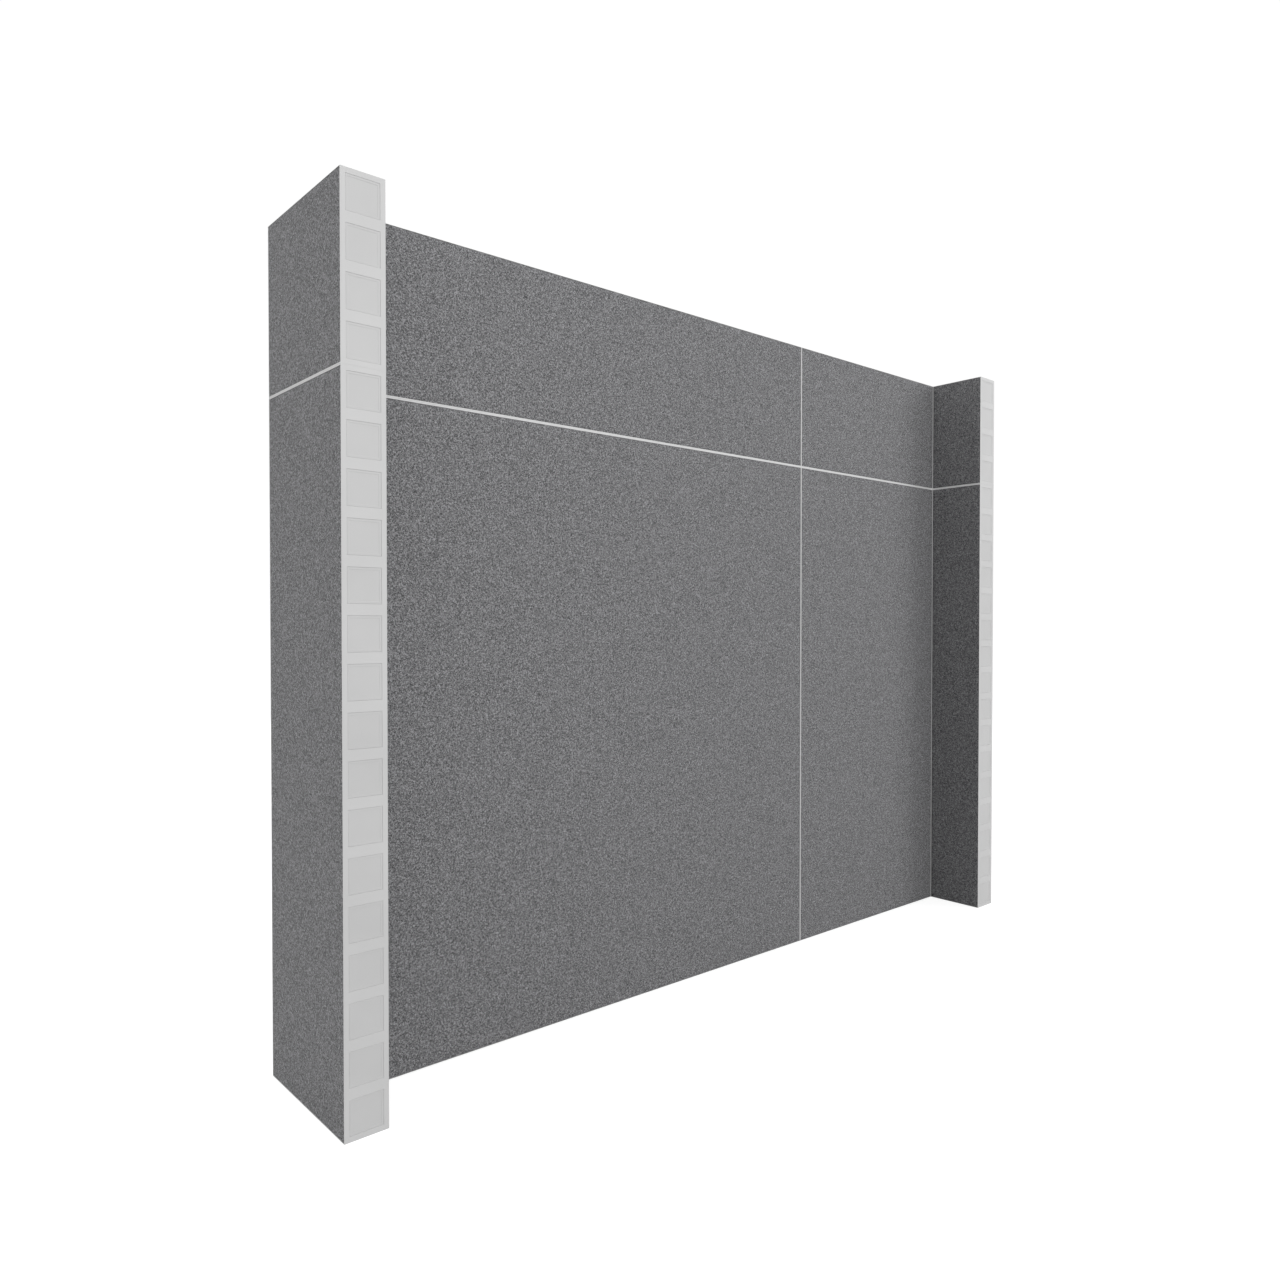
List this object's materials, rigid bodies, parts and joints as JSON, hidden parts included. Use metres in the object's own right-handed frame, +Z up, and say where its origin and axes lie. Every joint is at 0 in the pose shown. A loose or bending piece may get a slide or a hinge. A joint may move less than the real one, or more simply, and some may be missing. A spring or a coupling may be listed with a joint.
{
  "type": "modular partition wall",
  "caption": "Free-standing modular partition wall: felt-faced panels in pale plastic frames, a short wing square to each end, and a line of capped square sockets along every edge.",
  "frame": {"origin": "centre of the whole object's footprint, on the surface that it stands on", "axes": "+X along the wall, from the wide panels to the narrow ones; +Y from the front, which the deeper side of the wings encloses, to the rear; +Z up"},
  "size_m": [1.9812, 0.3048, 1.524],
  "materials": {
    "frame_plastic": "fine moulded grain",
    "cap_plastic": "fine moulded grain",
    "felt": "heathered pressed felt",
    "core_board": "plain kraft board",
    "inner_plastic": "plain moulded"
  },
  "bodies": {
    "root": {"wide_lower_stiles": "frame_plastic", "wide_lower_rails": "frame_plastic", "wide_lower_front_felt": "felt", "wide_lower_rear_felt": "felt", "wide_lower_core": "core_board", "narrow_lower_stiles": "frame_plastic", "narrow_lower_rails": "frame_plastic", "narrow_lower_front_felt": "felt", "narrow_lower_rear_felt": "felt", "narrow_lower_core": "core_board", "wide_upper_stiles": "frame_plastic", "wide_upper_rails": "frame_plastic", "wide_upper_front_felt": "felt", "wide_upper_rear_felt": "felt", "wide_upper_core": "core_board", "narrow_upper_stiles": "frame_plastic", "narrow_upper_rails": "frame_plastic", "narrow_upper_front_felt": "felt", "narrow_upper_rear_felt": "felt", "narrow_upper_core": "core_board", "left_wing_lower_stiles": "frame_plastic", "left_wing_lower_rails": "frame_plastic", "left_wing_lower_outer_felt": "felt", "left_wing_lower_inner_felt": "felt", "left_wing_lower_joint_strip": "frame_plastic", "left_wing_lower_core": "core_board", "left_wing_upper_stiles": "frame_plastic", "left_wing_upper_rails": "frame_plastic", "left_wing_upper_outer_felt": "felt", "left_wing_upper_inner_felt": "felt", "left_wing_upper_joint_strip": "frame_plastic", "left_wing_upper_core": "core_board", "right_wing_lower_stiles": "frame_plastic", "right_wing_lower_rails": "frame_plastic", "right_wing_lower_outer_felt": "felt", "right_wing_lower_inner_felt": "felt", "right_wing_lower_joint_strip": "frame_plastic", "right_wing_lower_core": "core_board", "right_wing_upper_stiles": "frame_plastic", "right_wing_upper_rails": "frame_plastic", "right_wing_upper_outer_felt": "felt", "right_wing_upper_inner_felt": "felt", "right_wing_upper_joint_strip": "frame_plastic", "right_wing_upper_core": "core_board", "back_wall_seam_connectors": "inner_plastic", "back_wall_row_connectors": "inner_plastic", "left_wing_row_connectors": "inner_plastic", "right_wing_row_connectors": "inner_plastic", "left_wing_joint_connectors": "inner_plastic", "right_wing_joint_connectors": "inner_plastic", "left_wing_front_caps": "cap_plastic", "right_wing_front_caps": "cap_plastic", "left_wing_rear_caps": "cap_plastic", "right_wing_rear_caps": "cap_plastic", "left_wing_top_and_base_caps": "cap_plastic", "right_wing_top_and_base_caps": "cap_plastic", "back_wall_top_caps": "cap_plastic", "back_wall_base_caps": "cap_plastic", "corner_brackets": "inner_plastic"}
  },
  "joints": []
}
